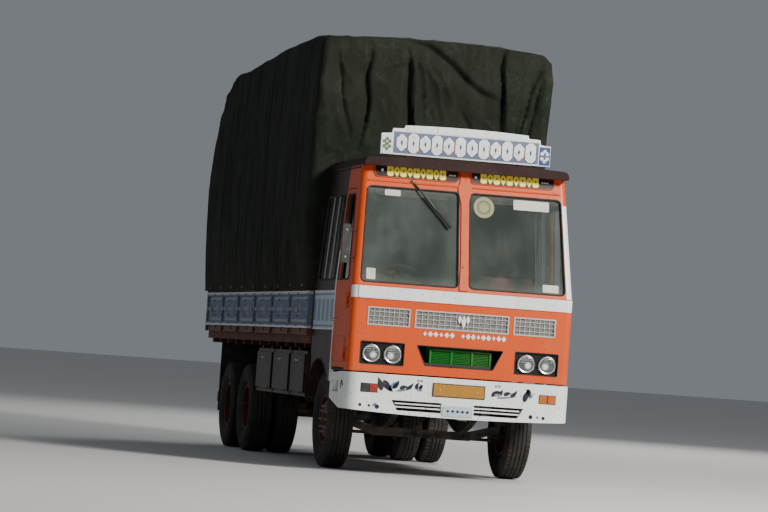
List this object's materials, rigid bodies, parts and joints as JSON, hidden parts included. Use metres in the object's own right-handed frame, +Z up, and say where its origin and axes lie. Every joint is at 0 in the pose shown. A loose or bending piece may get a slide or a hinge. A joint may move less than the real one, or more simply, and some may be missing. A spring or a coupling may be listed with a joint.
{
  "type": "goods truck",
  "caption": "Forward-control goods truck with a coach-built painted cab, twin rear axles on dual tyres and a boarded body under a high tarpaulin",
  "frame": {"origin": "centre of the bounding box on the ground plane that the tyres stand on", "axes": "+Z up, -Y forward out of the windscreen, +X to the left of the truck"},
  "size_m": [2.636, 9.2, 4.7498],
  "materials": {
    "orange_paint": "sun-faded orange enamel, dusty, chipped at edges",
    "roof_paint": "dark maroon enamel",
    "white_enamel": "white enamel with blue flourishes, road grime",
    "chassis_black": "black chassis paint under dust",
    "cast_parts": "cast and forged parts, oily dust",
    "radiator_green": "green enamel",
    "spring_steel": "dark spring steel, rusty",
    "tank_steel": "dark red enamel",
    "locker_red": "dark red enamel, dusty",
    "floor_steel": "worn floor paint",
    "glass": "slightly green safety glass",
    "lens": "fluted lamp glass over a bright bowl",
    "grille_grey": "silver-grey mesh in a bright frame",
    "sign_white": "white board with blue ends",
    "mirror_black": "black housing",
    "cover_grey": "quilted cover over the engine",
    "seat_cloth": "dark red seat covering",
    "dash_brown": "varnished dash",
    "wheel_black": "black steering wheel",
    "bearer_wood": "timber painted dark red",
    "deck_wood": "worn planks",
    "side_paint": "white and blue painted side band",
    "board_wood": "brown boards",
    "hoop_steel": "tube hoops",
    "canvas": "dark olive waterproof canvas, creased",
    "flap_rubber": "rubber sheet",
    "tyre": "dusty tyre rubber",
    "wheel_paint": "painted steel wheel, dusty"
  },
  "bodies": {
    "truck": {"chassis_frame": "chassis_black", "tow_jaw": "chassis_black", "engine": "cast_parts", "radiator": "radiator_green", "front_axle": "cast_parts", "leaf_springs": "spring_steel", "drive_axle": "cast_parts", "tag_axle": "cast_parts", "propeller_shaft": "cast_parts", "tanks": "tank_steel", "side_boxes": "locker_red", "cab_floor": "floor_steel", "cab_front": "orange_paint", "cab_sides": "orange_paint", "cab_back": "orange_paint", "cab_roof": "roof_paint", "cab_glass": "glass", "bumper": "white_enamel", "grilles": "grille_grey", "headlamps": "lens", "sign_board": "sign_white", "mirror": "mirror_black", "engine_cover": "cover_grey", "seats": "seat_cloth", "dashboard": "dash_brown", "deck_bearers": "bearer_wood", "deck_floor": "deck_wood", "side_boards": "side_paint", "headboard": "board_wood", "tarp_hoops": "hoop_steel", "tarpaulin": "canvas", "rear_bar": "chassis_black", "mudflaps": "flap_rubber"},
    "left_door": {"door_left": "orange_paint"},
    "right_door": {"door_right": "orange_paint"},
    "rear_gate": {"tailgate": "side_paint"},
    "left_knuckle": {"knuckle_left": "cast_parts"},
    "right_knuckle": {"knuckle_right": "cast_parts"},
    "tie_rod": {"track_rod": "cast_parts"},
    "hand_wheel": {"steering_wheel": "wheel_black"},
    "front_wheel_left": {"tyre_front_left": "tyre", "wheel_front_left": "wheel_paint"},
    "front_wheel_right": {"tyre_front_right": "tyre", "wheel_front_right": "wheel_paint"},
    "drive_wheel_left": {"tyre_drive_left": "tyre", "wheel_drive_left": "wheel_paint"},
    "drive_wheel_right": {"tyre_drive_right": "tyre", "wheel_drive_right": "wheel_paint"},
    "tag_wheel_left": {"tyre_tag_left": "tyre", "wheel_tag_left": "wheel_paint"},
    "tag_wheel_right": {"tyre_tag_right": "tyre", "wheel_tag_right": "wheel_paint"}
  },
  "joints": [
    {"name": "left_door_hinge", "type": "hinge", "parent": "truck", "child": "left_door", "pos_m": [1.187, -4.32, 1.5], "axis": [0, 0, -1], "range_deg": [0, 70]},
    {"name": "right_door_hinge", "type": "hinge", "parent": "truck", "child": "right_door", "pos_m": [-1.187, -4.32, 1.5], "axis": [0, 0, 1], "range_deg": [0, 70]},
    {"name": "gate_hinge", "type": "hinge", "parent": "truck", "child": "rear_gate", "pos_m": [0, 4.562, 1.462], "axis": [-1, 0, 0], "range_deg": [0, 170]},
    {"name": "steer_left", "type": "hinge", "parent": "truck", "child": "left_knuckle", "pos_m": [0.85, -2.95, 0.515], "axis": [0, 0, 1], "range_deg": [-35, 35]},
    {"name": "steer_right", "type": "hinge", "parent": "truck", "child": "right_knuckle", "pos_m": [-0.85, -2.95, 0.515], "axis": [0, 0, 1], "range_deg": [-35, 35]},
    {"name": "tie_rod_pin", "type": "hinge", "parent": "left_knuckle", "child": "tie_rod", "pos_m": [0.8, -2.77, 0.43], "axis": [0, 0, 1], "range_deg": [-35, 35]},
    {"name": "hand_wheel_spin", "type": "hinge", "parent": "truck", "child": "hand_wheel", "pos_m": [-0.64, -4.04, 2.05], "axis": [0, 0.5299, 0.848], "range_deg": [-420, 420]},
    {"name": "front_left_spin", "type": "hinge", "parent": "left_knuckle", "child": "front_wheel_left", "pos_m": [0.975, -2.95, 0.515], "axis": [1, 0, 0], "continuous": true},
    {"name": "front_right_spin", "type": "hinge", "parent": "right_knuckle", "child": "front_wheel_right", "pos_m": [-0.975, -2.95, 0.515], "axis": [1, 0, 0], "continuous": true},
    {"name": "drive_left_spin", "type": "hinge", "parent": "truck", "child": "drive_wheel_left", "pos_m": [0.91, 1.45, 0.515], "axis": [1, 0, 0], "continuous": true},
    {"name": "drive_right_spin", "type": "hinge", "parent": "truck", "child": "drive_wheel_right", "pos_m": [-0.91, 1.45, 0.515], "axis": [1, 0, 0], "continuous": true},
    {"name": "tag_left_spin", "type": "hinge", "parent": "truck", "child": "tag_wheel_left", "pos_m": [0.91, 2.75, 0.515], "axis": [1, 0, 0], "continuous": true},
    {"name": "tag_right_spin", "type": "hinge", "parent": "truck", "child": "tag_wheel_right", "pos_m": [-0.91, 2.75, 0.515], "axis": [1, 0, 0], "continuous": true}
  ],
  "couplings": [
    {"joint": "steer_right", "follows": "steer_left", "ratio": 1},
    {"joint": "tie_rod_pin", "follows": "steer_left", "ratio": -1},
    {"joint": "hand_wheel_spin", "follows": "steer_left", "ratio": 12}
  ]
}
